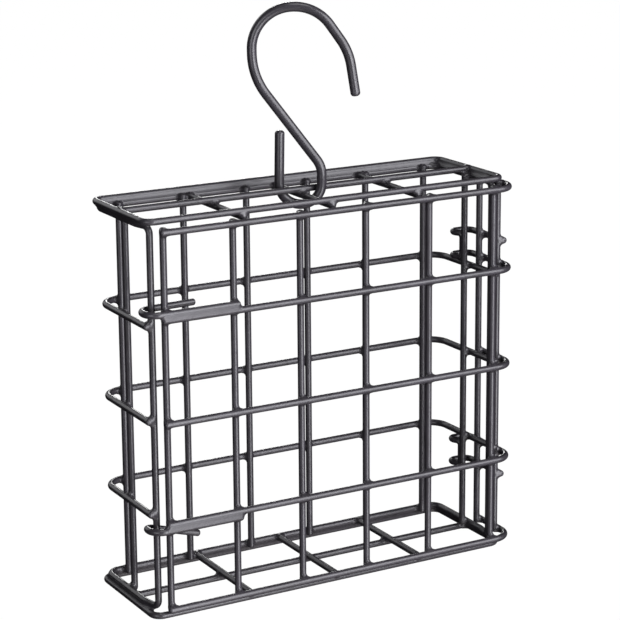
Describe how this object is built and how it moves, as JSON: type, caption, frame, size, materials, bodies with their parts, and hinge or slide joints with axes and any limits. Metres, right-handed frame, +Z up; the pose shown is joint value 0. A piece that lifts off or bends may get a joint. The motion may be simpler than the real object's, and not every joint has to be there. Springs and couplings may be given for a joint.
{
  "type": "hanging bird feeder",
  "caption": "Welded wire cage that holds a pressed suet cake for garden birds, with an L-shaped wire door on wire hinges, spring latch hooks and a loose S-hook to hang it by.",
  "frame": {"origin": "the hanging point: the inside of the wire at the crown of the S-hook's upper loop", "axes": "+X to the feeder's right, +Y to its back, +Z up; the door is on the -Y side"},
  "size_m": [0.1379, 0.0445, 0.1901],
  "materials": {
    "cage_wire": "black plastic coating on steel wire, satin, with a soft grey sheen along the wire",
    "door_wire": "black plastic coating on steel wire, satin, with a soft grey sheen along the wire",
    "hook_wire": "black coated steel rod, satin, slightly smoother than the cage wire"
  },
  "bodies": {
    "hanger": {"s_hook": "hook_wire"},
    "cage": {"back_upright_1": "cage_wire", "back_upright_2": "cage_wire", "back_upright_3": "cage_wire", "back_upright_4": "cage_wire", "back_upright_5": "cage_wire", "back_upright_6": "cage_wire", "bottom_cross_wire_1": "cage_wire", "bottom_cross_wire_2": "cage_wire", "bottom_cross_wire_3": "cage_wire", "bottom_mid_rail": "cage_wire", "bottom_ring": "cage_wire", "perimeter_frame": "cage_wire", "row_wire_lower": "cage_wire", "row_wire_middle": "cage_wire", "row_wire_upper": "cage_wire", "side_upright_left": "cage_wire", "side_upright_right": "cage_wire", "top_cross_wire_1": "cage_wire", "top_cross_wire_2": "cage_wire", "top_cross_wire_3": "cage_wire", "top_mid_rail": "cage_wire", "top_ring": "cage_wire"},
    "door": {"door_rail_1": "door_wire", "door_rail_2": "door_wire", "door_rail_3": "door_wire", "door_rail_4": "door_wire", "door_rail_5": "door_wire", "door_upright_1": "door_wire", "door_upright_2": "door_wire", "door_upright_3": "door_wire", "door_upright_4": "door_wire", "door_upright_5": "door_wire", "door_upright_6": "door_wire", "hinge_hook_lower": "door_wire", "hinge_hook_upper": "door_wire", "latch_hook_lower": "door_wire", "latch_hook_upper": "door_wire", "return_upright_front": "door_wire", "return_upright_rear": "door_wire"}
  },
  "joints": [
    {"name": "cage_swing", "type": "hinge", "parent": "hanger", "child": "cage", "pos_m": [0.00132, -0.0007, -0.056], "axis": [0.4695, 0.8829, 0], "range_deg": [-30, 30]},
    {"name": "door_hinge", "type": "hinge", "parent": "cage", "child": "door", "pos_m": [-0.06132, -0.01789, -0.1218], "axis": [0, 0, 1], "range_deg": [-120, 0], "deforming": ["latch_hook_upper", "latch_hook_lower"]}
  ]
}
